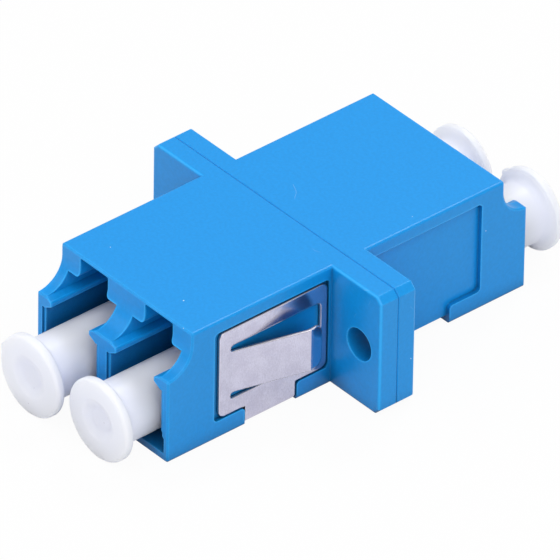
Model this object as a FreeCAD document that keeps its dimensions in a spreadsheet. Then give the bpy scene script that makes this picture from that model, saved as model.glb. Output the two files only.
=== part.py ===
import FreeCAD, Part
import Sketcher
import math
import os

# Duplex flanged fibre adapter. +X is across the two ports, +Y along the fibre, +Z up.
# The origin is at the bottom centre, in the plane where the two housing halves meet.

doc = FreeCAD.newDocument("FibreAdapter")
sheet = doc.addObject("Spreadsheet::Sheet", "Sizes")
sheet_rows = []


class Dim:
    # A length that keeps its value together with the formula that gives it.
    def __init__(self, value, text):
        self.value = value
        self.text = text

    def __add__(self, other):
        other = as_dim(other)
        return Dim(self.value + other.value, "(%s + %s)" % (self.text, other.text))

    def __radd__(self, other):
        return as_dim(other) + self

    def __sub__(self, other):
        other = as_dim(other)
        return Dim(self.value - other.value, "(%s - %s)" % (self.text, other.text))

    def __rsub__(self, other):
        return as_dim(other) - self

    def __mul__(self, other):
        other = as_dim(other)
        return Dim(self.value * other.value, "(%s * %s)" % (self.text, other.text))

    def __rmul__(self, other):
        return as_dim(other) * self

    def __truediv__(self, other):
        other = as_dim(other)
        return Dim(self.value / other.value, "(%s / %s)" % (self.text, other.text))

    def __neg__(self):
        return Dim(-self.value, "(-1 * %s)" % self.text)


def as_dim(number):
    if isinstance(number, Dim):
        return number
    return Dim(float(number), repr(float(number)))


def size(alias, value, meaning):
    # One row of the spreadsheet: what the size is, and its plain number under an alias.
    row = len(sheet_rows) + 1
    sheet.set("A%d" % row, meaning)
    sheet.set("B%d" % row, repr(value))
    sheet.setAlias("B%d" % row, alias)
    sheet_rows.append(alias)
    return Dim(value, "Sizes.%s" % alias)


# Housing, seen as one half: from the meeting plane out to the mouth of the ports.
body_height = size("BodyHeight", 9.0, "housing block, bottom to top")
half_length = size("HalfLength", 14.77, "meeting plane to the mouth")
step_radius = size("StepRadius", 1.94, "hollow curve from the roof's front down to the ledge")
roof_face = size("RoofFace", 0.88, "upright part of the roof's front, above the hollow curve")
long_edge_round = size("LongEdgeRound", 0.2, "edges of the block along the fibre")
end_edge_break = size("EndEdgeBreak", 0.1, "edges of the block around the mouth")
# Flange
hole_pitch = size("HolePitch", 18.0, "ear hole to ear hole")
hole_diameter = size("HoleDiameter", 2.3, "ear hole")
ear_end = size("EarEnd", 2.0, "ear hole axis to the end of the ear")
flange_half_thickness = size("FlangeHalfThickness", 1.45, "one half's share of the flange")
flange_corner = size("FlangeCorner", 0.45, "chamfer of the ear corners")
flange_edge_round = size("FlangeEdgeRound", 0.2, "outer edges of the flange")
parting_chamfer = size("PartingChamfer", 0.07, "fine edge break at the meeting plane")
# Ports
port_pitch = size("PortPitch", 6.25, "port axis to port axis")
port_axis_height = size("PortAxisHeight", 2.85, "bottom to the port axes")
web_thickness = size("WebThickness", 1.8, "wall at the bottom of the cavity")
cavity_width = size("CavityWidth", 4.9, "plug cavity")
side_wall = size("SideWall", 0.75, "outer wall beside a cavity")
floor_thickness = size("FloorThickness", 0.6, "wall under the cavity")
relief_side = size("ReliefSide", 0.4, "corner relief, beyond the cavity wall")
relief_top = size("ReliefTop", 1.7, "bottom to the top of the corner relief")
relief_length = size("ReliefLength", 3.2, "corner relief, in from the mouth")
lip_gap = size("LipGap", 3.68, "between the two guide lips")
lip_thickness = size("LipThickness", 0.55, "upright part of a guide lip")
lip_slope = size("LipSlope", 0.33, "fall of a lip's underside towards the wall")
lip_fall = size("LipFall", 0.18, "fall of a lip's top towards its inner edge")
lip_round = size("LipRound", 0.12, "upper inner edge of a guide lip")
rebate_width = size("RebateWidth", 0.25, "step in the mouth face beside the cavity")
rebate_depth = size("RebateDepth", 0.12, "that step, in from the mouth")
latch_room_width = size("LatchRoomWidth", 4.7, "wide latch room over the lips")
latch_room_height = size("LatchRoomHeight", 1.18, "ledge to the underside of the catches")
latch_slot_width = size("LatchSlotWidth", 2.66, "narrow slot between the catches")
roof_thickness = size("RoofThickness", 0.2, "roof over the latch slot")
slot_round = size("SlotRound", 0.12, "upper corners of the latch slot")
catch_depth = size("CatchDepth", 2.2, "catch, along the fibre")
catch_round = size("CatchRound", 0.28, "lower corners of the catches")
latch_room_end = size("LatchRoomEnd", 5.5, "meeting plane to the end of the latch room")
# Alignment sleeve and the tube around it
sleeve_diameter = size("SleeveDiameter", 1.6, "alignment sleeve, outside")
sleeve_wall = size("SleeveWall", 0.175, "wall of the alignment sleeve")
sleeve_length = size("SleeveLength", 11.4, "alignment sleeve")
sleeve_slit = size("SleeveSlit", 0.3, "slit along the sleeve")
sleeve_play = size("SleevePlay", 0.05, "radial play of the sleeve in its tube")
sleeve_end_play = size("SleeveEndPlay", 0.05, "end play of the sleeve, each end")
tube_wall = size("TubeWall", 0.55, "wall of the tube that holds the sleeve")
tube_lip = size("TubeLip", 0.6, "end lip of the tube, along the fibre")
ferrule_hole = size("FerruleHole", 1.4, "hole through the end lip")
ferrule_lead_in = size("FerruleLeadIn", 0.2, "chamfer of that hole")
# Clip recess in the sides of each half
recess_start = size("RecessStart", 0.2, "flange face to the near end of the recess")
recess_length = size("RecessLength", 9.32, "recess, along the fibre")
recess_bottom = size("RecessBottom", 1.35, "bottom to the sill of the recess")
recess_cover = size("RecessCover", 0.88, "top of the recess to the roof")
recess_depth = size("RecessDepth", 0.32, "recess, into the side wall")
recess_round = size("RecessRound", 0.3, "corners of the recess")
tab_near = size("TabNear", 2.55, "near end of the recess to the tab gap")
tab_width = size("TabWidth", 4.25, "tab gap in the sill")
# Spring clip
sheet_thickness = size("SheetThickness", 0.2, "spring steel sheet")
clip_bottom_gap = size("ClipBottomGap", 0.05, "clip strip above the bottom plane")
wing_stand_off = size("WingStandOff", 0.06, "floor of the recess to the inside of the wing")
wing_near_gap = size("WingNearGap", 0.1, "near end of the recess to the wing")
wing_far_gap = size("WingFarGap", 0.44, "wing to the far end of the recess")
wing_top_gap = size("WingTopGap", 0.24, "wing below the top of the recess")
wing_sill_gap = size("WingSillGap", 0.08, "wing above the sill of the recess")
wing_round = size("WingRound", 0.5, "corners of a wing")
tab_side_gap = size("TabSideGap", 0.08, "tab to each side of its gap")
bend_radius = size("BendRadius", 0.4, "outside of the clip's folds")
fold_play = size("FoldPlay", 0.05, "room for the inside of a fold at the housing's edge")
near_bar = size("NearBar", 0.52, "bar between a wing's near edge and its window")
root_bar = size("RootBar", 1.16, "bar between the root of the lance and the far edge")
window_round = size("WindowRound", 0.35, "near corners of the window")
lance_bottom = size("LanceBottom", 3.0, "bottom to the lower edge of the lance")
lance_height = size("LanceHeight", 3.1, "lance, lower edge to upper edge")
slot_width = size("SlotWidth", 0.5, "slot above and below the lance")
lance_tip_gap = size("LanceTipGap", 0.93, "near edge of the window to the tip of the lance")
lance_tip_length = size("LanceTipLength", 1.02, "tip of the lance to its knee")
lance_knee_rise = size("LanceKneeRise", 1.395, "knee of the lance, out from the wing")
lance_tip_rise = size("LanceTipRise", 1.225, "tip of the lance, out from the wing")
lance_tip_round = size("LanceTipRound", 0.6, "corners of the lance tip")
lance_bend = size("LanceBend", 0.13, "root and knee line to the end of its bend, each way")
# Dust caps
cap_tube_play = size("CapTubePlay", 0.05, "radial play of the barrel over the tube")
cap_wall = size("CapWall", 0.65, "wall of the barrel")
cap_disc_gap = size("CapDiscGap", 0.57, "between the discs of two neighbouring caps")
cap_disc_thickness = size("CapDiscThickness", 0.6, "rim of the disc")
cap_stand_out = size("CapStandOut", 2.9, "mouth to the outer face of the disc")
cap_end_wall = size("CapEndWall", 2.27, "solid end of the cap behind the face")
cap_inner_end = size("CapInnerEnd", 4.4, "meeting plane to the inner end of the barrel")
cap_dimple = size("CapDimple", 2.9, "dimple in the outer face")
cap_dimple_depth = size("CapDimpleDepth", 0.3, "depth of the dimple")
cap_edge_break = size("CapEdgeBreak", 0.12, "edge of the disc and of the barrel's end")
seat_front_left = size("SeatFrontLeft", 0.45, "this cap stands further out by")
seat_front_right = size("SeatFrontRight", 0.1, "this cap stands further out by")
seat_rear_left = size("SeatRearLeft", 0.3, "this cap stands further out by")
seat_rear_right = size("SeatRearRight", 0.65, "this cap stands further out by")
gate_width = size("GateWidth", 0.5, "moulding gate mark on the rim")
gate_height = size("GateHeight", 0.18, "gate mark, out from the rim")
gate_angle_front = size("GateAngleFront", 163.0, "gate mark of the front cap, degrees up from +X")
gate_angle_rear = size("GateAngleRear", 147.0, "gate mark of the rear cap, degrees up from +X")
doc.recompute()

# Sizes that follow from the ones above.
body_width = port_pitch + cavity_width + 2 * side_wall
flange_width = hole_pitch + 2 * ear_end
side_face = body_width / 2
top_half_length = half_length - step_radius
ledge_height = body_height - roof_face - step_radius
roof_inside = body_height - roof_thickness
lip_foot = ledge_height - lip_thickness
latch_room_top = ledge_height + latch_room_height
tube_bore = sleeve_diameter + 2 * sleeve_play
tube_bore_end = sleeve_length / 2 + sleeve_end_play
tube_diameter = tube_bore + 2 * tube_wall
tube_end = tube_bore_end + tube_lip
recess_near = flange_half_thickness + recess_start
recess_far = recess_near + recess_length
recess_top = body_height - recess_cover
recess_floor = side_face - recess_depth
tab_gap_near = recess_near + tab_near
tab_gap_far = tab_gap_near + tab_width
sheet_inside = recess_floor + wing_stand_off
sheet_outside = sheet_inside + sheet_thickness
channel_depth = clip_bottom_gap + sheet_thickness
wing_near = recess_near + wing_near_gap
wing_far = recess_far - wing_far_gap
window_near = wing_near + near_bar
window_far = wing_far - root_bar
lance_top = lance_bottom + lance_height
lance_tip = window_near + lance_tip_gap
lance_knee = lance_tip + lance_tip_length
fold_inside = bend_radius - sheet_thickness
zero = as_dim(0)


def make_body(label):
    body = doc.addObject("PartDesign::Body", label)
    body.Label = label
    return body


def sketch_on(body, name, plane, offset=zero):
    # A sketch flat on one of the body's own origin planes, moved along its normal by offset.
    sketch = body.newObject("Sketcher::SketchObject", name)
    support = [f for f in body.Origin.OriginFeatures if f.Role == plane][0]
    sketch.AttachmentSupport = [(support, "")]
    sketch.MapMode = "FlatFace"
    if offset is not zero:
        sketch.setExpression("AttachmentOffset.Base.z", offset.text)
    doc.recompute()
    return sketch


def fix_coordinate(sketch, kind, axis, geo, pos, dim):
    # Ties one coordinate of a point to its formula, or to the axis where it is zero.
    if abs(dim.value) < 1e-9:
        sketch.addConstraint(Sketcher.Constraint("PointOnObject", geo, pos, axis))
        return
    if dim.value > 0:
        index = sketch.addConstraint(Sketcher.Constraint(kind, -1, 1, geo, pos, dim.value))
        sketch.setExpression("Constraints[%d]" % index, dim.text)
        return
    index = sketch.addConstraint(Sketcher.Constraint(kind, geo, pos, -1, 1, -dim.value))
    sketch.setExpression("Constraints[%d]" % index, (-dim).text)


def fix_point(sketch, geo, pos, x, y):
    fix_coordinate(sketch, "DistanceX", -2, geo, pos, x)
    fix_coordinate(sketch, "DistanceY", -1, geo, pos, y)


def circle(sketch, x, y, radius):
    x, y, radius = as_dim(x), as_dim(y), as_dim(radius)
    centre = FreeCAD.Vector(x.value, y.value, 0)
    shape = Part.Circle(centre, FreeCAD.Vector(0, 0, 1), radius.value)
    geo = sketch.addGeometry(shape, False)
    index = sketch.addConstraint(Sketcher.Constraint("Radius", geo, radius.value))
    sketch.setExpression("Constraints[%d]" % index, radius.text)
    fix_point(sketch, geo, 3, x, y)


def arc_between(start, end, radius, bulge):
    # The arc from start to end with the given radius. It turns left for bulge +1, right for -1.
    chord = end - start
    half = chord.Length / 2
    rise = math.sqrt(max(radius * radius - half * half, 0.0))
    normal = FreeCAD.Vector(-chord.y, chord.x, 0).normalize()
    centre = (start + end) * 0.5 + normal * (rise * bulge)
    middle = centre - normal * (radius * bulge)
    return Part.Arc(start, middle, end)


def outline(sketch, corners):
    # A closed outline. Each corner is (x, y), or (x, y, radius, bulge) where the edge that
    # arrives there from the corner before is an arc.
    points = [(as_dim(c[0]), as_dim(c[1])) for c in corners]
    vectors = [FreeCAD.Vector(x.value, y.value, 0) for x, y in points]
    edges = []
    for n in range(len(corners)):
        start = vectors[n - 1]
        end = vectors[n]
        if len(corners[n]) == 4:
            radius = as_dim(corners[n][2])
            bulge = corners[n][3]
            arc = arc_between(start, end, radius.value, bulge)
            geo = sketch.addGeometry(arc, False)
            # A sketch stores every arc running left, so a right-hand one is met end first.
            first, last = (1, 2) if bulge > 0 else (2, 1)
            edges.append((geo, first, last, radius))
        else:
            geo = sketch.addGeometry(Part.LineSegment(start, end), False)
            edges.append((geo, 1, 2, None))
    for n in range(len(edges)):
        geo, first, last, radius = edges[n]
        next_geo, next_first = edges[(n + 1) % len(edges)][:2]
        sketch.addConstraint(Sketcher.Constraint("Coincident", geo, last, next_geo, next_first))
        fix_point(sketch, geo, last, *points[n])
        if radius is not None:
            index = sketch.addConstraint(Sketcher.Constraint("Radius", geo, radius.value))
            sketch.setExpression("Constraints[%d]" % index, radius.text)


def pad(body, sketch, name, length, both_ways=False):
    feature = body.newObject("PartDesign::Pad", name)
    feature.Profile = sketch
    feature.setExpression("Length", length.text)
    if both_ways:
        feature.Midplane = True
    doc.recompute()
    return feature


def pocket(body, sketch, name, length=None, reverse=False):
    # With no length the pocket goes right through, both ways.
    feature = body.newObject("PartDesign::Pocket", name)
    feature.Profile = sketch
    if length is None:
        feature.Type = "ThroughAll"
        feature.Midplane = True
    else:
        feature.setExpression("Length", length.text)
    feature.Reversed = reverse
    doc.recompute()
    return feature


def edges_where(shape, test):
    # Names of the edges whose both ends and middle pass the test.
    names = []
    for n, edge in enumerate(shape.Edges):
        middle = edge.valueAt((edge.FirstParameter + edge.LastParameter) / 2)
        points = [vertex.Point for vertex in edge.Vertexes] + [middle]
        if all(test(p) for p in points):
            names.append("Edge%d" % (n + 1))
    return names


def near(a, b):
    return abs(a - b) < 1e-4


def round_edges(body, name, base, edge_names, radius):
    feature = body.newObject("PartDesign::Fillet", name)
    feature.Base = (base, edge_names)
    feature.setExpression("Radius", radius.text)
    doc.recompute()
    return feature


def chamfer_edges(body, name, base, edge_names, amount):
    feature = body.newObject("PartDesign::Chamfer", name)
    feature.Base = (base, edge_names)
    feature.setExpression("Size", amount.text)
    doc.recompute()
    return feature


def make_flange_slab():
    # One half's share of the flange, with its outer edges rounded and its meeting edges broken.
    slab = make_body("flange_slab")
    half_width = flange_width / 2
    sketch = sketch_on(slab, "FlangeOutline", "XZ_Plane")
    outline(sketch, [
        (half_width - flange_corner, 0),
        (half_width, flange_corner),
        (half_width, body_height - flange_corner),
        (half_width - flange_corner, body_height),
        (flange_corner - half_width, body_height),
        (-half_width, body_height - flange_corner),
        (-half_width, flange_corner),
        (flange_corner - half_width, 0),
    ])
    block = pad(slab, sketch, "FlangePad", flange_half_thickness)
    outer = -flange_half_thickness.value
    edges = edges_where(block.Shape, lambda p: near(p.y, outer))
    rounded = round_edges(slab, "FlangeEdges", block, edges, flange_edge_round)
    edges = edges_where(rounded.Shape, lambda p: near(p.y, 0))
    chamfer_edges(slab, "PartingEdges", rounded, edges, parting_chamfer)
    return slab


def ports(sketch, draw):
    # Draws the same closed outline around both port axes.
    for side in (-1, 1):
        draw(sketch, side * port_pitch / 2)


def draw_cavity(sketch, x):
    # Square plug cavity with its roof drawn in under the guide lips.
    half = cavity_width / 2
    gap = lip_gap / 2
    outline(sketch, [
        (x + half, floor_thickness),
        (x + half, lip_foot - lip_slope),
        (x + gap, lip_foot),
        (x - gap, lip_foot),
        (x - half, lip_foot - lip_slope),
        (x - half, floor_thickness),
    ])


def draw_relief(sketch, x):
    # The mouth is a little wider low down, with sloped shoulders.
    half = cavity_width / 2
    outline(sketch, [
        (x + half + relief_side, floor_thickness),
        (x + half + relief_side, relief_top),
        (x + half, relief_top + relief_side),
        (x - half, relief_top + relief_side),
        (x - half - relief_side, relief_top),
        (x - half - relief_side, floor_thickness),
    ])


def draw_latch_channel(sketch, x):
    # Gap between the lips, wide latch room above them, narrow slot between the catches.
    gap = lip_gap / 2
    room = latch_room_width / 2
    slot = latch_slot_width / 2
    foot = lip_foot - lip_slope
    lip_edge = ledge_height - lip_fall
    outline(sketch, [
        (x + gap, foot),
        (x + gap, lip_edge - lip_round),
        (x + gap + lip_round, lip_edge, lip_round, -1),
        (x + room, ledge_height),
        (x + room, latch_room_top),
        (x + slot + catch_round, latch_room_top),
        (x + slot, latch_room_top + catch_round, catch_round, -1),
        (x + slot, roof_inside - slot_round),
        (x + slot - slot_round, roof_inside, slot_round, 1),
        (x - slot + slot_round, roof_inside),
        (x - slot, roof_inside - slot_round, slot_round, 1),
        (x - slot, latch_room_top + catch_round),
        (x - slot - catch_round, latch_room_top, catch_round, -1),
        (x - room, latch_room_top),
        (x - room, ledge_height),
        (x - gap - lip_round, lip_edge),
        (x - gap, lip_edge - lip_round, lip_round, -1),
        (x - gap, foot),
    ])


def draw_rebate(sketch, x):
    # A shallow step in the mouth face down both sides of the cavity, under the guide lips.
    half = cavity_width / 2 + rebate_width
    outline(sketch, [
        (x + half, relief_top),
        (x + half, lip_foot - lip_slope),
        (x - half, lip_foot - lip_slope),
        (x - half, relief_top),
    ])


def draw_catch_pocket(sketch, x):
    # Full-width room behind the catches.
    room = latch_room_width / 2
    outline(sketch, [
        (x + room, ledge_height),
        (x + room, roof_inside),
        (x - room, roof_inside),
        (x - room, ledge_height),
    ])


def cut_ports(body):
    # The cuts that make the two ports, all from the mouth inwards.
    sketch = sketch_on(body, "CavityOutline", "XZ_Plane", half_length)
    ports(sketch, draw_cavity)
    pocket(body, sketch, "Cavities", half_length - web_thickness)
    sketch = sketch_on(body, "ReliefOutline", "XZ_Plane", half_length)
    ports(sketch, draw_relief)
    pocket(body, sketch, "MouthReliefs", relief_length)
    sketch = sketch_on(body, "RebateOutline", "XZ_Plane", half_length)
    ports(sketch, draw_rebate)
    pocket(body, sketch, "MouthRebates", rebate_depth)
    sketch = sketch_on(body, "LatchOutline", "XZ_Plane", half_length)
    ports(sketch, draw_latch_channel)
    pocket(body, sketch, "LatchChannels", half_length - latch_room_end)
    behind = top_half_length - catch_depth
    sketch = sketch_on(body, "CatchOutline", "XZ_Plane", behind)
    ports(sketch, draw_catch_pocket)
    pocket(body, sketch, "CatchPockets", behind - latch_room_end)


def add_sleeve_tubes(body):
    # A tube on the web around each port axis, bored for the sleeve, with an end lip.
    def ring(radius):
        return lambda sketch, x: circle(sketch, x, port_axis_height, radius)
    root = web_thickness / 2
    sketch = sketch_on(body, "TubeOutline", "XZ_Plane", root)
    ports(sketch, ring(tube_diameter / 2))
    pad(body, sketch, "Tubes", tube_end - root)
    sketch = sketch_on(body, "SleeveBoreOutline", "XZ_Plane")
    ports(sketch, ring(tube_bore / 2))
    pocket(body, sketch, "SleeveBores", tube_bore_end, reverse=True)
    sketch = sketch_on(body, "FerruleHoleOutline", "XZ_Plane")
    ports(sketch, ring(ferrule_hole / 2))
    holes = pocket(body, sketch, "FerruleHoles", tube_end, reverse=True)
    end = -tube_end.value
    reach = ferrule_hole.value
    centres = [side * port_pitch.value / 2 for side in (-1, 1)]
    height = port_axis_height.value

    def on_hole_rim(p):
        gaps = [math.hypot(p.x - c, p.z - height) for c in centres]
        return near(p.y, end) and min(gaps) < reach / 2 + ferrule_lead_in.value
    edges = edges_where(holes.Shape, on_hole_rim)
    chamfer_edges(body, "FerruleLeadIns", holes, edges, ferrule_lead_in)


def cut_clip_recesses(body):
    # A shallow recess in each side wall for a clip wing, joined by a channel underneath.
    r = recess_round
    near_y, far_y = -recess_near, -recess_far
    tab_near_y, tab_far_y = -tab_gap_near, -tab_gap_far
    sketch = sketch_on(body, "RecessOutline", "YZ_Plane", side_face)
    outline(sketch, [
        (tab_near_y, 0),
        (tab_near_y, recess_bottom - r),
        (tab_near_y + r, recess_bottom, r, -1),
        (near_y - r, recess_bottom),
        (near_y, recess_bottom + r, r, 1),
        (near_y, recess_top - r),
        (near_y - r, recess_top, r, 1),
        (far_y + r, recess_top),
        (far_y, recess_top - r, r, 1),
        (far_y, recess_bottom + r),
        (far_y + r, recess_bottom, r, 1),
        (tab_far_y - r, recess_bottom),
        (tab_far_y, recess_bottom - r, r, -1),
        (tab_far_y, 0),
    ])
    recess = pocket(body, sketch, "ClipRecess", recess_depth)
    mirror = body.newObject("PartDesign::Mirrored", "ClipRecessBothSides")
    mirror.Originals = [recess]
    plane = [f for f in body.Origin.OriginFeatures if f.Role == "YZ_Plane"][0]
    mirror.MirrorPlane = (plane, [""])
    body.Tip = mirror
    doc.recompute()
    sketch = sketch_on(body, "ChannelOutline", "XY_Plane")
    outline(sketch, [
        (side_face, tab_near_y),
        (-side_face, tab_near_y),
        (-side_face, tab_far_y),
        (side_face, tab_far_y),
    ])
    channel = pocket(body, sketch, "ClipChannel", channel_depth, reverse=True)
    edge_x, edge_z = recess_floor.value, channel_depth.value
    edges = edges_where(channel.Shape, lambda p: near(abs(p.x), edge_x) and near(p.z, edge_z))
    chamfer_edges(body, "FoldRoom", channel, edges, fold_inside + fold_play)


def end_edges(shape):
    # The outer edges of the block's end: around the mouth, up the hollow curve and over the
    # front of the roof. The seam where the curve runs into the roof's front is smooth.
    mouth, front = -half_length.value, -top_half_length.value
    half, ledge = side_face.value, ledge_height.value
    curve_top = ledge + step_radius.value

    def at_end(p):
        on_side = near(abs(p.x), half) and ledge - 1e-4 < p.z and mouth - 1e-4 < p.y < front + 1e-4
        return near(p.y, mouth) or on_side or (near(p.y, front) and p.z > curve_top + 1e-4)
    return edges_where(shape, at_end)


def make_half_housing(label, degrees_about_z):
    # One moulded half, drawn as the front one. The rear one is the same moulding turned round.
    body = make_body(label)
    start = flange_half_thickness / 2
    sketch = sketch_on(body, "SideOutline", "YZ_Plane")
    outline(sketch, [
        (-start, 0),
        (-start, body_height),
        (-top_half_length, body_height),
        (-top_half_length, ledge_height + step_radius),
        (-half_length, ledge_height, step_radius, -1),
        (-half_length, 0),
    ])
    block = pad(body, sketch, "Block", body_width, both_ways=True)
    half = side_face.value
    high = body_height.value

    def on_long_edge(p):
        return near(abs(p.x), half) and (near(p.z, 0) or near(p.z, high))
    edges = edges_where(block.Shape, on_long_edge)
    rounded = round_edges(body, "LongEdges", block, edges, long_edge_round)
    chamfer_edges(body, "EndEdges", rounded, end_edges(rounded.Shape), end_edge_break)
    slab = make_flange_slab()
    union = body.newObject("PartDesign::Boolean", "WithFlange")
    union.Type = "Fuse"
    union.addObject(slab)
    doc.recompute()
    sketch = sketch_on(body, "EarHoleOutline", "XZ_Plane")
    for side in (-1, 1):
        circle(sketch, side * hole_pitch / 2, body_height / 2, hole_diameter / 2)
    pocket(body, sketch, "EarHoles", flange_half_thickness, reverse=True)
    cut_clip_recesses(body)
    cut_ports(body)
    add_sleeve_tubes(body)
    body.Placement = FreeCAD.Placement(
        FreeCAD.Vector(0, 0, 0),
        FreeCAD.Rotation(FreeCAD.Vector(0, 0, 1), degrees_about_z),
    )
    doc.recompute()
    return body


def make_spring_clip():
    # One strip of spring steel folded into a U under the front half. Each wing has a lance
    # cut free on three sides and bent out, with its tip bent back a little.
    body = make_body("spring_clip")
    near_y, far_y = -wing_near, -wing_far
    tab_near_y = -tab_gap_near - tab_side_gap
    tab_far_y = -tab_gap_far + tab_side_gap
    sill = recess_bottom + wing_sill_gap
    top = recess_top - wing_top_gap
    r = wing_round
    sketch = sketch_on(body, "StripOutline", "YZ_Plane")
    outline(sketch, [
        (tab_near_y, clip_bottom_gap),
        (tab_near_y, sill),
        (near_y - r, sill),
        (near_y, sill + r, r, 1),
        (near_y, top - r),
        (near_y - r, top, r, 1),
        (far_y + r, top),
        (far_y, top - r, r, 1),
        (far_y, sill + r),
        (far_y + r, sill, r, 1),
        (tab_far_y, sill),
        (tab_far_y, clip_bottom_gap),
    ])
    block = pad(body, sketch, "StripBlock", 2 * sheet_outside, both_ways=True)
    low = clip_bottom_gap.value
    side = sheet_outside.value
    edges = edges_where(block.Shape, lambda p: near(p.z, low) and near(abs(p.x), side))
    round_edges(body, "OutsideFolds", block, edges, bend_radius)
    inner = sheet_inside
    inner_low = channel_depth
    fold = fold_inside
    over = recess_top
    sketch = sketch_on(body, "InsideOutline", "XZ_Plane")
    outline(sketch, [
        (inner - fold, inner_low),
        (inner, inner_low + fold, fold, 1),
        (inner, over),
        (-inner, over),
        (-inner, inner_low + fold),
        (fold - inner, inner_low, fold, 1),
    ])
    pocket(body, sketch, "Inside")
    cut_lance_window(body)
    add_lances(body)
    return body


def cut_lance_window(body):
    # The window behind each lance, with the rounded slot ends beside the lance's root.
    slot = slot_width / 2
    low = lance_bottom - slot_width
    high = lance_top + slot_width
    root = -window_far
    r = window_round
    sketch = sketch_on(body, "WindowOutline", "YZ_Plane")
    outline(sketch, [
        (-window_near - r, low),
        (-window_near, low + r, r, 1),
        (-window_near, high - r),
        (-window_near - r, high, r, 1),
        (root, high),
        (root - slot, high - slot, slot, 1),
        (root, lance_top, slot, 1),
        (root, lance_bottom),
        (root - slot, lance_bottom - slot, slot, 1),
        (root, low, slot, 1),
    ])
    pocket(body, sketch, "Windows")


def lance_corners(side):
    # One lance seen from above. It leaves the wing at its root and turns back at its knee,
    # each time round a soft bend that starts lance_bend before the corner.
    root, knee, tip = -window_far, -lance_knee, -lance_tip
    b = lance_bend
    rise = lance_knee_rise / (window_far - lance_knee)
    fall = (lance_knee_rise - lance_tip_rise) / lance_tip_length
    root_radius = 2 * b / rise
    knee_radius = 2 * b / (rise + fall)
    before_knee = lance_knee_rise - rise * b
    after_knee = lance_knee_rise - fall * b
    outer, inner = sheet_outside, sheet_inside
    return [
        (side * outer, root - b),
        (side * (outer + rise * b), root + b, root_radius, side),
        (side * (outer + before_knee), knee - b),
        (side * (outer + after_knee), knee + b, knee_radius, -side),
        (side * (outer + lance_tip_rise), tip),
        (side * (inner + lance_tip_rise), tip),
        (side * (inner + after_knee), knee + b),
        (side * (inner + before_knee), knee - b, knee_radius, side),
        (side * (inner + rise * b), root + b),
        (side * inner, root - b, root_radius, -side),
    ]


def add_lances(body):
    # The two lances, each as tall as the space between its slots, with rounded tips.
    sketch = sketch_on(body, "LanceOutline", "XY_Plane", lance_bottom)
    for side in (-1, 1):
        outline(sketch, lance_corners(side))
    pad(body, sketch, "Lances", lance_top - lance_bottom)
    r = lance_tip_round
    past = sheet_thickness - lance_tip
    sketch = sketch_on(body, "TipCornerOutline", "YZ_Plane")
    outline(sketch, [
        (-lance_tip - r, lance_top),
        (-lance_tip, lance_top - r, r, -1),
        (past, lance_top - r),
        (past, lance_top + sheet_thickness),
        (-lance_tip - r, lance_top + sheet_thickness),
    ])
    outline(sketch, [
        (-lance_tip - r, lance_bottom),
        (-lance_tip, lance_bottom + r, r, 1),
        (past, lance_bottom + r),
        (past, lance_bottom - sheet_thickness),
        (-lance_tip - r, lance_bottom - sheet_thickness),
    ])
    pocket(body, sketch, "TipCorners")


def make_sleeve(label, side):
    # Split alignment sleeve, held loosely between the end lips of the two half tubes.
    body = make_body(label)
    sketch = sketch_on(body, "SleeveRing", "XZ_Plane")
    circle(sketch, 0, 0, sleeve_diameter / 2)
    circle(sketch, 0, 0, sleeve_diameter / 2 - sleeve_wall)
    pad(body, sketch, "SleeveTube", sleeve_length, both_ways=True)
    sketch = sketch_on(body, "SlitOutline", "XZ_Plane")
    outline(sketch, [
        (-sleeve_slit / 2, 0),
        (sleeve_slit / 2, 0),
        (sleeve_slit / 2, sleeve_diameter),
        (-sleeve_slit / 2, sleeve_diameter),
    ])
    pocket(body, sketch, "Slit")
    body.setExpression("Placement.Base.x", (side * port_pitch / 2).text)
    body.setExpression("Placement.Base.z", port_axis_height.text)
    doc.recompute()
    return body


def flare_corners(barrel, flare, disc_back):
    # The hollow flare from the barrel out to the rim, as a quarter turn in straight steps.
    steps = 3
    corners = []
    for n in range(1, steps + 1):
        turn = math.radians(90 * n / steps)
        out = barrel + flare * (1 - math.cos(turn))
        along = disc_back - flare * (1 - math.sin(turn))
        corners.append((out, -along))
    return corners


def make_dust_cap(label, side, degrees_about_z, seat, gate_angle=None):
    # Hollow barrel over the sleeve tube, flared into a disc to pull it by. Drawn around its
    # own axis as a front cap, then moved to its port and turned round for the rear.
    body = make_body(label)
    hollow = tube_diameter / 2 + cap_tube_play
    barrel = hollow + cap_wall
    rim = (port_pitch - cap_disc_gap) / 2
    flare = rim - barrel
    face = half_length + cap_stand_out
    disc_back = face - cap_disc_thickness
    hollow_end = face - cap_end_wall
    dimple = cap_dimple / 2
    c = cap_edge_break
    sketch = sketch_on(body, "CapProfile", "XY_Plane")
    outline(sketch, [
        (hollow, -cap_inner_end),
        (barrel - c, -cap_inner_end),
        (barrel, -cap_inner_end - c),
        (barrel, flare - disc_back),
    ] + flare_corners(barrel, flare, disc_back) + [
        (rim, c - face),
        (rim - c, -face),
        (dimple, -face),
        (dimple - cap_dimple_depth, cap_dimple_depth - face),
        (0, cap_dimple_depth - face),
        (0, -hollow_end),
        (hollow, -hollow_end),
    ])
    turned = body.newObject("PartDesign::Revolution", "CapTurned")
    turned.Profile = sketch
    turned.ReferenceAxis = (sketch, ["V_Axis"])
    turned.Angle = 360
    doc.recompute()
    turn = FreeCAD.Rotation(FreeCAD.Vector(0, 0, 1), degrees_about_z)
    if gate_angle is not None:
        add_gate_mark(body, rim, disc_back)
        turn = FreeCAD.Rotation(FreeCAD.Vector(0, 1, 0), 90 - gate_angle.value) * turn
    body.Placement.Rotation = turn
    body.setExpression("Placement.Base.x", (side * port_pitch / 2).text)
    body.setExpression("Placement.Base.y", seat.text)
    body.setExpression("Placement.Base.z", port_axis_height.text)
    doc.recompute()
    return body


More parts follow.
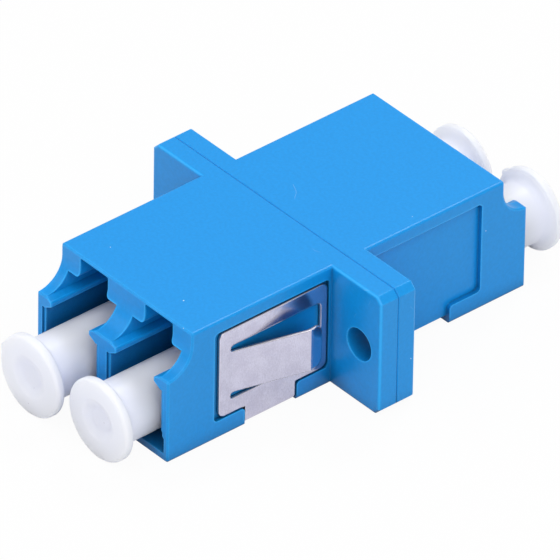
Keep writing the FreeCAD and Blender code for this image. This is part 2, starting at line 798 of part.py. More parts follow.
def add_gate_mark(body, rim, disc_back):
    # A small stub on top of the disc's rim, where the moulding gate was broken off.
    foot = rim - gate_width
    top = rim + gate_height
    sketch = sketch_on(body, "GateOutline", "XZ_Plane", disc_back)
    outline(sketch, [
        (gate_width / 2, foot),
        (gate_width / 4, top),
        (-gate_width / 4, top),
        (-gate_width / 2, foot),
    ])
    pad(body, sketch, "GateMark", cap_disc_thickness - cap_edge_break)


turned_round = 180
nodes = [
    make_half_housing("front_housing", 0),
    make_half_housing("rear_housing", turned_round),
    make_spring_clip(),
    make_sleeve("alignment_sleeve_left", -1),
    make_sleeve("alignment_sleeve_right", 1),
    make_dust_cap("dust_cap_front_left", -1, 0, -seat_front_left, gate_angle_front),
    make_dust_cap("dust_cap_front_right", 1, 0, -seat_front_right),
    make_dust_cap("dust_cap_rear_left", -1, turned_round, seat_rear_left),
    make_dust_cap("dust_cap_rear_right", 1, turned_round, seat_rear_right, gate_angle_rear),
]
doc.recompute()

for item in doc.Objects:
    bad = [s for s in item.State if s in ("Invalid", "Error")]
    if bad:
        raise RuntimeError("%s is %s" % (item.Name, bad))

os.makedirs("parts", exist_ok=True)
for body in nodes:
    if body.Shape.isNull() or not body.Shape.isValid():
        raise RuntimeError("%s has no valid shape" % body.Label)
    body.Shape.exportStep("parts/%s.step" % body.Label)
    box = body.Shape.BoundBox
    print("%-24s solids %d faces %d volume %.2f  x %.2f %.2f  y %.2f %.2f  z %.2f %.2f" % (
        body.Label, len(body.Shape.Solids), len(body.Shape.Faces), body.Shape.Volume,
        box.XMin, box.XMax, box.YMin, box.YMax, box.ZMin, box.ZMax))
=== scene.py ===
import math

import bmesh
import bpy
from mathutils import Matrix, Vector


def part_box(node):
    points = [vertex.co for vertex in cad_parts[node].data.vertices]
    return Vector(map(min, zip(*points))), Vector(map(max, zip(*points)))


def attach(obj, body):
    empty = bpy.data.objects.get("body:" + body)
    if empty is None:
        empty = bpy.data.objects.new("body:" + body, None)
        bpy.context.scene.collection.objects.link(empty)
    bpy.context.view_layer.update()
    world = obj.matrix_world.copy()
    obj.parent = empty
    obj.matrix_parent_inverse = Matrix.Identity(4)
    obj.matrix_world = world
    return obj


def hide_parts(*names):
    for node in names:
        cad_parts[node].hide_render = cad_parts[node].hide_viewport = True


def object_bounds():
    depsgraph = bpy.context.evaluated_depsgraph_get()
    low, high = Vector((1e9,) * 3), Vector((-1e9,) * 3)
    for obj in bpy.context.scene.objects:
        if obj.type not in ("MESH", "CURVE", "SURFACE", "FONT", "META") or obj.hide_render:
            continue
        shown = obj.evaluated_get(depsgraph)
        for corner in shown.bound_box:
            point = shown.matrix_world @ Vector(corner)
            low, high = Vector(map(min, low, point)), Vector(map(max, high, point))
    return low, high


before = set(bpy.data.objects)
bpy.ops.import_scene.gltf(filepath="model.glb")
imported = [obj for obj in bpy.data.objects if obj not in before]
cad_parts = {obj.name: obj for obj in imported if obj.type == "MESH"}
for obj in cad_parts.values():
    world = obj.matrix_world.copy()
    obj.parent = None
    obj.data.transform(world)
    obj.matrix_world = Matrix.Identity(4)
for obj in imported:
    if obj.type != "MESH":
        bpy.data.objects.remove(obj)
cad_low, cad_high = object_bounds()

MM = 0.001

# ---------------------------------------------------------------------------------------
# Housing. Two identical halves, injection-moulded in blue PBT and welded at the flange.
# The moulding is satin, with a fine spark-eroded grain. Its edges carry a painted highlight,
# and its gaps and hollows painted shade. Handling has left specks of dust, and a few
# hairline scratches on the flange.
# ---------------------------------------------------------------------------------------
HOUSING_BLUE = "#0C92E0"
HOUSING_BLUE_DEEP = "#0B8DD9"
# Painted highlight, along outer edges and the rounds of the flange.
EDGE_HIGHLIGHT_BLUE = "#30B2FC"
# Painted shade, in narrow gaps and deep hollows.
PAINTED_SHADE_BLUE = "#03243F"
DUST_WHITE = "#C4E2F8"
# The real mottle and grain are finer. Both are drawn coarser, so that they show at all.
MOTTLE_MM = 0.22
MOULD_GRAIN_MM = 0.12
MOULD_RELIEF_MM = 0.01
MOULD_RELIEF = 0.12
MOULD_GLOSSY, MOULD_DULL = 0.26, 0.38
PBT_IOR = 1.5
PBT_SPECULAR = 0.3
EDGE_ROUND_MM = 0.07
EDGE_HIGHLIGHT_MM = 0.3
# Cosines between a face and the normal averaged round it, at no painted highlight and at full painted
# highlight.
EDGE_SHARP, EDGE_FULL = 0.995, 0.80
# How far a round of the flange looks aslant, at no painted highlight and at full, and how strong that
# painted highlight is.
ROUND_STRAIGHT, ROUND_ASLANT, ROUND_HIGHLIGHT = 0.1, 0.6, 0.7
CREVICE_MM = 0.5
CAVITY_MM = 2.5
# Open share of the sky over a spot, at the pale end and at the dark end, and how dark the painted shade
# gets.
AIR_SHUT, AIR_OPEN = 0.80, 0.98
GAP_OPEN, GAP_SHUT, GAP_SHADE = 0.72, 0.25, 0.9
HOLLOW_OPEN, HOLLOW_SHUT, HOLLOW_SHADE = 0.70, 0.28, 0.68
PARTING_MM = 0.2
PARTING_EDGE = 0.1
DUST_CELL_MM = 1.9
DUST_SPECK_MM = 0.05
SCRATCH_CELL_MM = 9.0
SCRATCH_WIDTH_MM = 0.03
SCRATCH_BEND_MM = 3.0
SCRATCH_SWAY_MM = 2.5
SCRATCH_PATCH_MM = 2.2
SCRATCH_NONE, SCRATCH_ALL, SCRATCH_PALE = 0.58, 0.66, 0.35
FLANGE_WITHIN_MM = 2.4


def linear(hex_colour):
    """An sRGB hex colour as linear red, green, blue and alpha."""
    channels = [int(hex_colour[i:i + 2], 16) / 255 for i in (1, 3, 5)]
    return [c / 12.92 if c <= 0.04045 else ((c + 0.055) / 1.055) ** 2.4 for c in channels] + [1.0]


def add(tree, kind, inputs=None, **settings):
    """Adds one shader node. Each input is a value, or the output socket that feeds it."""
    node = tree.nodes.new("ShaderNode" + kind)
    for name, value in settings.items():
        setattr(node, name, value)
    for socket, value in (inputs or {}).items():
        if isinstance(value, bpy.types.NodeSocket):
            tree.links.new(value, node.inputs[socket])
        else:
            node.inputs[socket].default_value = value
    return node


def new_material(name):
    """An empty node material with its output, ready for a surface."""
    material = bpy.data.materials.new(name)
    material.use_nodes = True
    material.node_tree.nodes.clear()
    output = add(material.node_tree, "OutputMaterial")
    return material, material.node_tree, output


def edge_mask(tree, radius_mm, sharp, full):
    """1 on edges: where the normal, averaged over a small radius, leaves the face's own by
    more than full; 0 where it leaves it by less than sharp (both as cosines)."""
    rounded = add(tree, "Bevel", {"Radius": radius_mm * MM}, samples=8)
    face = add(tree, "NewGeometry")
    along = add(tree, "VectorMath", {0: rounded.outputs["Normal"], 1: face.outputs["True Normal"]},
                operation="DOT_PRODUCT")
    return add(tree, "MapRange", {"Value": along.outputs["Value"], "From Min": sharp, "From Max": full})


def moulded_pbt():
    material, tree, output = new_material("moulded_blue_pbt")
    coordinates = add(tree, "TexCoord")
    place = coordinates.outputs["Object"]
    # A fine mottle of tone across the flats, as pigment and the eroded tool leave it.
    patches = add(tree, "TexNoise", {"Vector": place, "Scale": 1 / (MOTTLE_MM * MM), "Detail": 4.0})
    tone = add(tree, "MapRange", {"Value": patches.outputs["Fac"], "From Min": 0.35, "From Max": 0.65})
    blue = add(tree, "Mix", {0: tone.outputs["Result"], 6: linear(HOUSING_BLUE),
                             7: linear(HOUSING_BLUE_DEEP)}, data_type="RGBA")
    # Painted highlight: outer edges, and the rounds of the flange's rim, are painted paler where
    # they stand in the open. Painted shade: narrow gaps are painted darker. Neither is painted along
    # the weld line.
    along = add(tree, "SeparateXYZ", {0: place})
    aside = add(tree, "Math", {0: along.outputs["Y"]}, operation="ABSOLUTE")
    clear = add(tree, "MapRange", {"Value": aside.outputs["Value"], "From Min": PARTING_MM * MM,
                                   "From Max": 2.5 * PARTING_MM * MM, "To Min": PARTING_EDGE})
    closeness = add(tree, "AmbientOcclusion", {"Distance": CREVICE_MM * MM}, samples=12)
    open_air = add(tree, "MapRange", {"Value": closeness.outputs["AO"], "From Min": AIR_SHUT,
                                      "From Max": AIR_OPEN})
    highlight_edge = edge_mask(tree, EDGE_HIGHLIGHT_MM, EDGE_SHARP, EDGE_FULL)
    facing = add(tree, "VectorMath", {0: coordinates.outputs["Normal"]}, operation="ABSOLUTE")
    axes = add(tree, "SeparateXYZ", {0: facing.outputs["Vector"]})
    outward = add(tree, "Math", {0: axes.outputs["X"], 1: axes.outputs["Z"]}, operation="MAXIMUM")
    between = add(tree, "Math", {0: axes.outputs["Y"], 1: outward.outputs["Value"]},
                  operation="MINIMUM")
    aslant = add(tree, "MapRange", {"Value": between.outputs["Value"], "From Min": ROUND_STRAIGHT,
                                    "From Max": ROUND_ASLANT, "To Max": ROUND_HIGHLIGHT})
    flange = add(tree, "Math", {0: aside.outputs["Value"], 1: FLANGE_WITHIN_MM * MM},
                 operation="LESS_THAN")
    rounds = add(tree, "Math", {0: aslant.outputs["Result"], 1: flange.outputs["Value"]},
                 operation="MULTIPLY")
    both = add(tree, "Math", {0: highlight_edge.outputs["Result"], 1: rounds.outputs["Value"]},
               operation="MAXIMUM")
    highlight_share = add(tree, "Math", {0: both.outputs["Value"], 1: open_air.outputs["Result"]},
               operation="MULTIPLY")
    painted_highlight = add(tree, "Math", {0: highlight_share.outputs["Value"], 1: clear.outputs["Result"]},
                operation="MULTIPLY")
    # Mixes the painted highlight colour into the blue.
    edge_highlighted = add(tree, "Mix", {0: painted_highlight.outputs["Value"], 6: blue.outputs[2], 7: linear(EDGE_HIGHLIGHT_BLUE)},
                data_type="RGBA")
    # Painted shade: spots that see little sky, in narrow gaps and in deep hollows, are painted darker
    # towards the crevice blue.
    enclosed = add(tree, "AmbientOcclusion", {"Distance": CAVITY_MM * MM}, samples=12)
    gap = add(tree, "MapRange", {"Value": closeness.outputs["AO"], "From Min": GAP_OPEN,
                                 "From Max": GAP_SHUT, "To Max": GAP_SHADE})
    gap_shade = add(tree, "Math", {0: gap.outputs["Result"], 1: clear.outputs["Result"]},
               operation="MULTIPLY")
    hollow = add(tree, "MapRange", {"Value": enclosed.outputs["AO"], "From Min": HOLLOW_OPEN,
                                    "From Max": HOLLOW_SHUT, "To Max": HOLLOW_SHADE})
    painted_shade = add(tree, "Math", {0: gap_shade.outputs["Value"], 1: hollow.outputs["Result"]},
                operation="MAXIMUM")
    shade_painted = add(tree, "Mix", {0: painted_shade.outputs["Value"], 6: edge_highlighted.outputs[2], 7: linear(PAINTED_SHADE_BLUE)},
                 data_type="RGBA")
    # Dust: a speck in some of the cells of a coarse pattern.
    cells = add(tree, "TexVoronoi", {"Vector": place, "Scale": 1 / (DUST_CELL_MM * MM)})
    near = add(tree, "Math", {0: cells.outputs["Distance"], 1: DUST_SPECK_MM / DUST_CELL_MM},
               operation="LESS_THAN")
    # Scratches: the thin walls between large, bent cells, kept in a few places of the flange.
    bend = add(tree, "TexNoise", {"Vector": place, "Scale": 1 / (SCRATCH_BEND_MM * MM), "Detail": 2.0})
    bent = add(tree, "VectorMath", {0: bend.outputs["Color"], 1: (SCRATCH_SWAY_MM * MM,) * 3},
               operation="MULTIPLY")
    where = add(tree, "VectorMath", {0: place, 1: bent.outputs["Vector"]}, operation="ADD")
    walls = add(tree, "TexVoronoi", {"Vector": where.outputs["Vector"],
                                     "Scale": 1 / (SCRATCH_CELL_MM * MM)}, feature="DISTANCE_TO_EDGE")
    line = add(tree, "Math", {0: walls.outputs["Distance"], 1: SCRATCH_WIDTH_MM / SCRATCH_CELL_MM / 2},
               operation="LESS_THAN")
    patch = add(tree, "TexNoise", {"Vector": place, "Scale": 1 / (SCRATCH_PATCH_MM * MM),
                                   "Detail": 1.0})
    some = add(tree, "MapRange", {"Value": patch.outputs["Fac"], "From Min": SCRATCH_NONE,
                                  "From Max": SCRATCH_ALL, "To Max": SCRATCH_PALE})
    scratch = add(tree, "Math", {0: line.outputs["Value"], 1: some.outputs["Result"]},
                  operation="MULTIPLY")
    scratched = add(tree, "Math", {0: scratch.outputs["Value"], 1: flange.outputs["Value"]},
                    operation="MULTIPLY")
    marks = add(tree, "Math", {0: near.outputs["Value"], 1: scratched.outputs["Value"]},
                operation="MAXIMUM")
    marked = add(tree, "Mix", {0: marks.outputs["Value"], 6: shade_painted.outputs[2], 7: linear(DUST_WHITE)},
                 data_type="RGBA")
    # Fine grain of the tool, seen as a slightly broken gloss.
    grain = add(tree, "TexNoise", {"Vector": place, "Scale": 1 / (MOULD_GRAIN_MM * MM), "Detail": 3.0})
    dull = add(tree, "MapRange", {"Value": grain.outputs["Fac"], "To Min": MOULD_GLOSSY,
                                  "To Max": MOULD_DULL})
    soft_edge = add(tree, "Bevel", {"Radius": EDGE_ROUND_MM * MM}, samples=8)
    relief = add(tree, "Bump", {
        "Height": grain.outputs["Fac"],
        "Strength": MOULD_RELIEF,
        "Distance": MOULD_RELIEF_MM * MM,
        "Normal": soft_edge.outputs["Normal"],
    })
    surface = add(tree, "BsdfPrincipled", {
        "Base Color": marked.outputs[2],
        "Roughness": dull.outputs["Result"],
        "IOR": PBT_IOR,
        "Specular IOR Level": PBT_SPECULAR,
        "Normal": relief.outputs["Normal"],
    })
    tree.links.new(surface.outputs["BSDF"], output.inputs["Surface"])
    return material


def dress(node_name, material):
    """Gives a node of the model its material."""
    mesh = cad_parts[node_name].data
    mesh.materials.clear()
    mesh.materials.append(material)


pbt = moulded_pbt()
for half in ("front_housing", "rear_housing"):
    dress(half, pbt)

# ---------------------------------------------------------------------------------------
# Spring clip. One strip of cold-rolled stainless steel, stamped and folded, that lies in
# the recesses of the front half. The rolled faces are bright, with a fine grain across the
# strip; the punch has left the cut edges matt, and a painted highlight runs along the edges.
# ---------------------------------------------------------------------------------------
STEEL = "#DAD8EA"
STEEL_CLOUDY = "#CBC8DC"
# Painted highlight, along the sheet's edges.
STEEL_RIM_HIGHLIGHT = "#FBFAFF"
STEEL_CUT = "#D6D0D3"
# Real rolling lines are far finer. They are drawn coarser, so that they show at all.
STEEL_GRAIN_MM = 0.07
STEEL_RELIEF_MM = 0.01
STEEL_RELIEF = 0.08
STEEL_CLOUD_MM = 1.2
STEEL_HIGHLIGHT_MM = 0.07
STEEL_ROUND_MM = 0.15
STEEL_BRIGHT, STEEL_HAZY, STEEL_MATT = 0.14, 0.23, 0.38
# Cosines between a face and the normal averaged round it, at no painted highlight and at full painted
# highlight.
RIM_SHARP, RIM_FULL = 0.95, 0.82
SHEET_BOTTOM_MM = 0.4
# A cut face looks along X by less than the first, a rolled one by more than the second. A
# level face looks up or down by more than the third.
CUT_UNDER, ROLLED_OVER, LEVEL_OVER = 0.1, 0.9, 0.5
# The knee is where a lance folds back to its tip. The solid's short arc there bulges the
# wrong way. Its shading is evened over this stretch, between these slopes; its shape isn't.
KNEE_MIDDLE_MM = -4.22
KNEE_HALF_MM = 0.135
KNEE_DEEP_MM = 0.4
KNEE_BEFORE = -0.26
KNEE_AFTER = 0.16


def rolled_stainless(knee_out):
    material, tree, output = new_material("rolled_stainless_steel")
    coordinates = add(tree, "TexCoord")
    place = coordinates.outputs["Object"]
    stretched = add(tree, "Mapping", {"Vector": place, "Scale": (1.0, 1.0, 0.5)})
    grain = add(tree, "TexNoise", {"Vector": stretched.outputs["Vector"],
                                   "Scale": 1 / (STEEL_GRAIN_MM * MM), "Detail": 2.0})
    cloud = add(tree, "TexNoise", {"Vector": place, "Scale": 1 / (STEEL_CLOUD_MM * MM), "Detail": 4.0})
    both = add(tree, "Math", {0: grain.outputs["Fac"], 1: cloud.outputs["Fac"]}, operation="ADD")
    tone = add(tree, "MapRange", {"Value": both.outputs["Value"], "From Min": 0.8, "From Max": 1.2})
    face = add(tree, "Mix", {0: tone.outputs["Result"], 6: linear(STEEL), 7: linear(STEEL_CLOUDY)},
               data_type="RGBA")
    # Painted highlight: a near-white line painted along the sheet's edges, where its normal turns.
    rim = edge_mask(tree, STEEL_HIGHLIGHT_MM, RIM_SHARP, RIM_FULL)
    rim_highlighted = add(tree, "Mix", {0: rim.outputs["Result"], 6: face.outputs[2], 7: linear(STEEL_RIM_HIGHLIGHT)},
                 data_type="RGBA")
    # Cut edges: the faces square to the sheet. The strip under the body lies flat, so there
    # the faces that look up and down are the rolled ones.
    normal = add(tree, "SeparateXYZ", {0: coordinates.outputs["Normal"]})
    sideways = add(tree, "Math", {0: normal.outputs["X"]}, operation="ABSOLUTE")
    upright = add(tree, "Math", {0: normal.outputs["Z"]}, operation="ABSOLUTE")
    spot = add(tree, "SeparateXYZ", {0: place})
    low = add(tree, "Math", {0: spot.outputs["Z"], 1: SHEET_BOTTOM_MM * MM}, operation="LESS_THAN")
    level = add(tree, "Math", {0: upright.outputs["Value"], 1: LEVEL_OVER}, operation="GREATER_THAN")
    flat = add(tree, "Math", {0: low.outputs["Value"], 1: level.outputs["Value"]}, operation="MULTIPLY")
    square = add(tree, "Math", {0: sideways.outputs["Value"], 1: CUT_UNDER}, operation="LESS_THAN")
    cut = add(tree, "Math", {0: square.outputs["Value"], 1: flat.outputs["Value"]},
              operation="SUBTRACT", use_clamp=True)
    colour = add(tree, "Mix", {0: cut.outputs["Value"], 6: rim_highlighted.outputs[2], 7: linear(STEEL_CUT)},
                 data_type="RGBA")
    haze = add(tree, "MapRange", {"Value": grain.outputs["Fac"], "To Min": STEEL_BRIGHT,
                                  "To Max": STEEL_HAZY})
    rough = add(tree, "Mix", {0: cut.outputs["Value"], 2: haze.outputs["Result"], 3: STEEL_MATT})
    # At a lance's knee the shading turns evenly from one slope to the other, in place of the
    # solid's own dip. The mask keeps it to the rolled faces of the lances.
    ramp = add(tree, "MapRange", {
        "Value": spot.outputs["Y"],
        "From Min": (KNEE_MIDDLE_MM - KNEE_HALF_MM) * MM,
        "From Max": (KNEE_MIDDLE_MM + KNEE_HALF_MM) * MM,
        "To Min": KNEE_BEFORE,
        "To Max": KNEE_AFTER,
    })
    outward = add(tree, "Math", {0: normal.outputs["X"]}, operation="SIGN")
    turned = add(tree, "CombineXYZ", {"X": outward.outputs["Value"], "Y": ramp.outputs["Result"]})
    even = add(tree, "VectorTransform", {"Vector": turned.outputs["Vector"]}, vector_type="NORMAL",
               convert_from="OBJECT", convert_to="WORLD")
    on_knee = add(tree, "Math", {0: spot.outputs["Y"], 1: KNEE_MIDDLE_MM * MM, 2: KNEE_HALF_MM * MM},
                  operation="COMPARE")
    rolled = add(tree, "Math", {0: sideways.outputs["Value"], 1: ROLLED_OVER}, operation="GREATER_THAN")
    from_middle = add(tree, "Math", {0: spot.outputs["X"]}, operation="ABSOLUTE")
    proud = add(tree, "Math", {0: from_middle.outputs["Value"], 1: knee_out - KNEE_DEEP_MM * MM},
                operation="GREATER_THAN")
    on_lance = add(tree, "Math", {0: rolled.outputs["Value"], 1: proud.outputs["Value"]},
                   operation="MULTIPLY")
    knee = add(tree, "Math", {0: on_knee.outputs["Value"], 1: on_lance.outputs["Value"]},
               operation="MULTIPLY")
    soft_edge = add(tree, "Bevel", {"Radius": STEEL_ROUND_MM * MM}, samples=8)
    turning = add(tree, "Mix", {0: knee.outputs["Value"], 4: soft_edge.outputs["Normal"],
                                5: even.outputs["Vector"]}, data_type="VECTOR")
    relief = add(tree, "Bump", {"Height": grain.outputs["Fac"], "Strength": STEEL_RELIEF,
                                "Distance": STEEL_RELIEF_MM * MM, "Normal": turning.outputs[1]})
    surface = add(tree, "BsdfPrincipled", {
        "Base Color": colour.outputs[2],
        "Metallic": 1.0,
        "Roughness": rough.outputs[0],
        "Normal": relief.outputs["Normal"],
    })
    tree.links.new(surface.outputs["BSDF"], output.inputs["Surface"])
    return material


clip_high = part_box("spring_clip")[1]
dress("spring_clip", rolled_stainless(clip_high.x))

# ---------------------------------------------------------------------------------------
# Alignment sleeves. Split tubes of ground and polished zirconia ceramic, one on each
# port axis, loose between the end lips of the two housing halves.
# ---------------------------------------------------------------------------------------
ZIRCONIA_WHITE = "#EFEBDF"
ZIRCONIA_IOR = 2.15
# Real polishing marks are far finer. They are drawn coarser, so that they show at all.
POLISH_MM = 0.08
POLISH_GLOSSY, POLISH_DULL = 0.08, 0.16


def polished_zirconia():
    material, tree, output = new_material("polished_zirconia")
    place = add(tree, "TexCoord").outputs["Object"]
    polish = add(tree, "TexNoise", {"Vector": place, "Scale": 1 / (POLISH_MM * MM), "Detail": 2.0})
    gloss = add(tree, "MapRange", {"Value": polish.outputs["Fac"], "To Min": POLISH_GLOSSY,
                                   "To Max": POLISH_DULL})
    surface = add(tree, "BsdfPrincipled", {
        "Base Color": linear(ZIRCONIA_WHITE),
        "Roughness": gloss.outputs["Result"],
        "IOR": ZIRCONIA_IOR,
    })
    tree.links.new(surface.outputs["BSDF"], output.inputs["Surface"])
    return material


zirconia = polished_zirconia()
for side in ("left", "right"):
    dress("alignment_sleeve_" + side, zirconia)

# ---------------------------------------------------------------------------------------
# Dust caps. Four soft caps of natural low-density polyethylene, moulded in one piece:
# a hollow barrel over the sleeve tube and a flared disc to pull it by. The plastic lets
# light in, so its shades are pale and its rims soft; two show a torn moulding gate.
# ---------------------------------------------------------------------------------------
CAP_WHITE = "#E7E9FF"
CAP_SPECK = "#9A90B4"
CAP_BARREL_MM = 4.2
CAP_HOLLOW_MM = 2.9
CAP_DISC_RIM_MM = 0.6
CAP_END_WALL_MM = 2.27
CAP_DIMPLE_FLOOR_MM = 0.7
CAP_DIMPLE_SLOPE_MM = 0.9
CAP_DIMPLE_DEPTH_MM = 0.3
CAP_DIMPLE_STEPS = 12
CAP_RIM_ROUND_MM = 0.24
CAP_BACK_ROUND_MM = 0.1
CAP_TURNS = 192
GATE_WIDTH_MM = 0.5
GATE_HEIGHT_MM = 0.17
GATE_DEGREES = {"front_left": 163.0, "rear_right": 147.0}
CAP_SPECK_CELL_MM = 1.3
CAP_SPECK_MM = 0.05
CAP_SPECK_SHARE = 0.35
WAX_MM = 0.6
WAX_RELIEF_MM = 0.03
WAX_RELIEF = 0.1
WAX_GLOSSY, WAX_DULL = 0.38, 0.52
POLYETHYLENE_IOR = 1.51
LIGHT_REACH_MM = 2.0


def arc_points(centre, radius, start, end, steps):
    """Points along an arc in the (radius, along) plane, angles in degrees."""
    points = []
    for n in range(steps + 1):
        angle = math.radians(start + (end - start) * n / steps)
        points.append((centre[0] + radius * math.cos(angle), centre[1] + radius * math.sin(angle)))
    return points


def cap_profile(rim, length):
    """Half section of a cap: (radius, distance in from the outer face), from the middle of
    the dimple over the rim, along the barrel and back up inside the hollow. Millimetres."""
    barrel = CAP_BARREL_MM / 2
    hollow = CAP_HOLLOW_MM / 2
    front, back = CAP_RIM_ROUND_MM, CAP_BACK_ROUND_MM
    flare = rim - back - barrel
    points = [(0.0, CAP_DIMPLE_DEPTH_MM)]
    for n in range(CAP_DIMPLE_STEPS + 1):
        share = n / CAP_DIMPLE_STEPS
        ease = share * share * (3 - 2 * share)
        across = CAP_DIMPLE_FLOOR_MM + CAP_DIMPLE_SLOPE_MM * share
        points.append((across, CAP_DIMPLE_DEPTH_MM * (1 - ease)))
    points += arc_points((rim - front, front), front, -90, 0, 8)
    points += arc_points((rim - back, CAP_DISC_RIM_MM - back), back, 0, 90, 4)
    points += arc_points((rim - back, CAP_DISC_RIM_MM + flare), flare, -90, -180, 12)[1:]
    points += [(barrel, length * 0.5)]
    points += arc_points((barrel - back, length - back), back, 0, 90, 4)
    points += [(hollow, length), (hollow, length * 0.5)]
    points += [(hollow, CAP_END_WALL_MM), (0.0, CAP_END_WALL_MM)]
    return points


def gate_lift(radius, rim, angle, gate_degrees):
    """How far the torn stub of the moulding gate lifts a point of the rim. Millimetres."""
    if gate_degrees is None or radius < rim - CAP_BACK_ROUND_MM:
        return 0.0
    off = math.radians(gate_degrees) - angle
    off = abs(math.atan2(math.sin(off), math.cos(off))) * rim
    share = max(0.0, 1 - off / (GATE_WIDTH_MM / 2))
    on_rim = (radius - rim + CAP_BACK_ROUND_MM) / CAP_BACK_ROUND_MM
    return GATE_HEIGHT_MM * min(1.0, share * 1.8) ** 0.7 * on_rim


def turned_mesh(name, profile, axis, face_y, inward, gate_degrees):
    """A body turned about an axis along Y: its outer face lies at face_y, and the profile
    runs inward from there."""
    rim = max(radius for radius, along in profile)
    mesh = bpy.data.meshes.new(name)
    build = bmesh.new()
    rings = []
    for radius, along in profile:
        y = face_y + inward * along * MM
        if radius < 1e-6:
            rings.append([build.verts.new((axis[0], y, axis[1]))])
            continue
        ring = []
        for n in range(CAP_TURNS):
            angle = 2 * math.pi * n / CAP_TURNS
            out = (radius + gate_lift(radius, rim, angle, gate_degrees)) * MM
            x = axis[0] + out * math.cos(angle)
            z = axis[1] + out * math.sin(angle)
            ring.append(build.verts.new((x, y, z)))
        rings.append(ring)
    for a, b in zip(rings[:-1], rings[1:]):
        for n in range(CAP_TURNS):
            m = (n + 1) % CAP_TURNS
            corners = [a[n % len(a)], b[n % len(b)], b[m % len(b)], a[m % len(a)]]
            corners = [v for i, v in enumerate(corners) if v not in corners[:i]]
            if len(corners) > 2:
                build.faces.new(corners)
    bmesh.ops.recalc_face_normals(build, faces=build.faces)
    for face in build.faces:
        face.smooth = True
    build.to_mesh(mesh)
    build.free()
    piece = bpy.data.objects.new(name, mesh)
    bpy.context.scene.collection.objects.link(piece)
    return piece


def soft_polyethylene():
    material, tree, output = new_material("natural_polyethylene")
    place = add(tree, "TexCoord").outputs["Object"]
    wax = add(tree, "TexNoise", {"Vector": place, "Scale": 1 / (WAX_MM * MM), "Detail": 3.0})
    haze = add(tree, "MapRange", {"Value": wax.outputs["Fac"], "To Min": WAX_GLOSSY,
                                  "To Max": WAX_DULL})
    # Nicks and specks of dirt that soft plastic picks up.
    cells = add(tree, "TexVoronoi", {"Vector": place, "Scale": 1 / (CAP_SPECK_CELL_MM * MM)})
    near = add(tree, "Math", {0: cells.outputs["Distance"], 1: CAP_SPECK_MM / CAP_SPECK_CELL_MM},
               operation="LESS_THAN")
    faint = add(tree, "Math", {0: near.outputs["Value"], 1: CAP_SPECK_SHARE}, operation="MULTIPLY")
    colour = add(tree, "Mix", {0: faint.outputs["Value"], 6: linear(CAP_WHITE), 7: linear(CAP_SPECK)},
                 data_type="RGBA")
    relief = add(tree, "Bump", {"Height": wax.outputs["Fac"], "Strength": WAX_RELIEF,
                                "Distance": WAX_RELIEF_MM * MM})
    surface = add(tree, "BsdfPrincipled", {
        "Base Color": colour.outputs[2],
        "Roughness": haze.outputs["Result"],
        "IOR": POLYETHYLENE_IOR,
        "Subsurface Weight": 1.0,
        "Subsurface Radius": (1.0, 1.0, 1.0),
        "Subsurface Scale": LIGHT_REACH_MM * MM,
        "Normal": relief.outputs["Normal"],
    })
    tree.links.new(surface.outputs["BSDF"], output.inputs["Surface"])
    return material


polyethylene = soft_polyethylene()
for place_name in ("front_left", "front_right", "rear_left", "rear_right"):
    cad_name = "dust_cap_" + place_name
    low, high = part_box(cad_name)
    inward = 1 if place_name.startswith("front") else -1
    rim_mm = (high.z - low.z) / 2 / MM
    length_mm = (high.y - low.y) / MM
    face_y = low.y if inward > 0 else high.y
    axis = (high.x - rim_mm * MM, low.z + rim_mm * MM)
    cap = turned_mesh("cap_" + place_name, cap_profile(rim_mm, length_mm), axis, face_y, inward,
                      GATE_DEGREES.get(place_name))
    cap.data.materials.append(polyethylene)
    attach(cap, "cap_" + place_name)
    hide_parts(cad_name)

# ---------------------------------------------------------------------------------------
# Table and studio. A plain white sweep, a small soft light high up behind that draws the
# long edges, and broad ones above and on each side in front. The camera sees the sweep
# nearly at its own white, with a faint shadow, and reflections see about half of that.
# ---------------------------------------------------------------------------------------
FLOOR_WHITE = "#FFFFFF"
FLOOR_SIZE = 2.0
FLOOR_SEEN = 0.95
FLOOR_IN_GLOSS = 0.47
PAPER_FIBRE_MM = 2.0
PAPER_DARK, PAPER_LIGHT = 0.74, 0.76
WORLD_LIGHT = 0.56
WORLD_IN_GLOSS = 0.6


def white_sweep():
    material, tree, output = new_material("white_paper_sweep")
    rays = add(tree, "LightPath")
    through = add(tree, "Math", {0: rays.outputs["Is Glossy Ray"],
                                 1: rays.outputs["Is Transmission Ray"]}, operation="MAXIMUM")
    mirrored = add(tree, "Math", {0: through.outputs["Value"], 1: FLOOR_IN_GLOSS}, operation="MULTIPLY")
    seen = add(tree, "Math", {0: rays.outputs["Is Camera Ray"], 1: FLOOR_SEEN,
                              2: mirrored.outputs["Value"]}, operation="MULTIPLY_ADD")
    place = add(tree, "TexCoord").outputs["Object"]
    fibres = add(tree, "TexNoise", {"Vector": place, "Scale": 1 / (PAPER_FIBRE_MM * MM), "Detail": 3.0})
    tone = add(tree, "MapRange", {"Value": fibres.outputs["Fac"], "To Min": PAPER_DARK,
                                  "To Max": PAPER_LIGHT})
    paper = add(tree, "BsdfDiffuse", {"Color": tone.outputs["Result"]})
    glow = add(tree, "Emission", {"Color": linear(FLOOR_WHITE), "Strength": 1.0})
    both = add(tree, "MixShader", {0: seen.outputs["Value"], 1: paper.outputs["BSDF"],
                                   2: glow.outputs["Emission"]})
    tree.links.new(both.outputs["Shader"], output.inputs["Surface"])
    return material


bpy.ops.mesh.primitive_grid_add(x_subdivisions=8, y_subdivisions=8, size=FLOOR_SIZE)
floor = bpy.context.object
floor.name = "floor"
floor.data.materials.append(white_sweep())

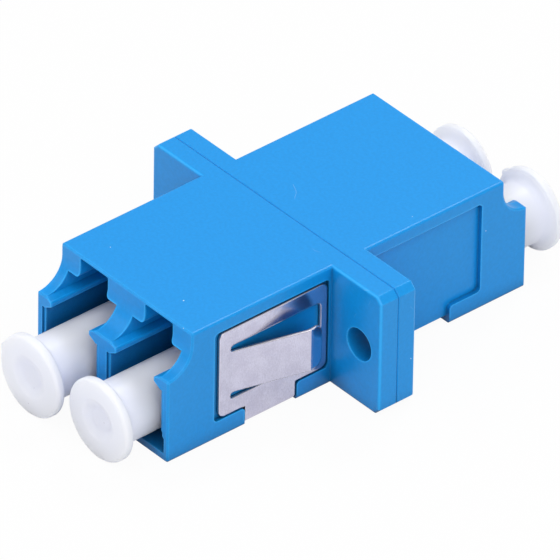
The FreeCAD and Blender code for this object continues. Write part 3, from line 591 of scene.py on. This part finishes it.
world = bpy.data.worlds.new("studio")
bpy.context.scene.world = world
world.use_nodes = True
sky = world.node_tree
rays = add(sky, "LightPath")
backdrop = add(sky, "MapRange", {"Value": rays.outputs["Is Camera Ray"], "To Min": WORLD_LIGHT,
                                 "To Max": 1.0})
strength = add(sky, "Mix", {0: rays.outputs["Is Glossy Ray"], 2: backdrop.outputs["Result"],
                            3: WORLD_IN_GLOSS})
sky.nodes["Background"].inputs["Color"].default_value = (1.0, 1.0, 1.0, 1.0)
sky.links.new(strength.outputs[0], sky.nodes["Background"].inputs["Strength"])


def soft_light(name, direction, distance, size, watts):
    """A square soft light that looks at the part from a direction. Metres and watts."""
    light = bpy.data.lights.new(name, "AREA")
    light.shape = "SQUARE"
    light.size = size
    light.energy = watts
    lamp = bpy.data.objects.new(name, light)
    bpy.context.scene.collection.objects.link(lamp)
    away = Vector(direction).normalized()
    lamp.location = (cad_low + cad_high) / 2 + away * distance
    lamp.rotation_euler = away.to_track_quat("Z", "Y").to_euler()


soft_light("behind_above", (-0.236, 0.533, 0.812), 0.5, 0.12, 0.65)
soft_light("above", (0.3, -0.3, 0.9), 0.6, 0.5, 0.85)
soft_light("front_left", (-0.45, -0.6, 0.66), 0.6, 0.5, 0.7)
soft_light("right", (0.62, -0.35, 0.7), 0.6, 0.5, 1.05)

# ---------------------------------------------------------------------------------------
# Camera. A long lens that looks down at the part from the front right, so that the long
# edges stay nearly parallel. The angles are in degrees, the distance is in metres.
# ---------------------------------------------------------------------------------------
VIEW_AZIMUTH = 48.92
VIEW_ELEVATION = 35.91
VIEW_ROLL = 0.97
VIEW_DISTANCE = 0.881
VIEW_LENS_MM = 902.8
VIEW_SENSOR_MM = 36.0
VIEW_AIM_MM = (-0.256, -0.1, -0.902)

azimuth, elevation, roll = [math.radians(a) for a in (VIEW_AZIMUTH, VIEW_ELEVATION, VIEW_ROLL)]
back = Vector((
    math.sin(azimuth) * math.cos(elevation),
    -math.cos(azimuth) * math.cos(elevation),
    math.sin(elevation),
))
level = Vector((0, 0, 1)).cross(back).normalized()
upright = back.cross(level)
right = level * math.cos(roll) + upright * math.sin(roll)
up = upright * math.cos(roll) - level * math.sin(roll)
camera_data = bpy.data.cameras.new("camera")
camera_data.sensor_width = VIEW_SENSOR_MM
camera_data.lens = VIEW_LENS_MM
camera = bpy.data.objects.new("camera", camera_data)
bpy.context.scene.collection.objects.link(camera)
aim = (cad_low + cad_high) / 2 + Vector(VIEW_AIM_MM) * MM
turn = Matrix((right, up, back)).transposed().to_4x4()
camera.matrix_world = Matrix.Translation(aim + back * VIEW_DISTANCE) @ turn
bpy.context.scene.camera = camera
bpy.context.scene.view_settings.view_transform = "Standard"
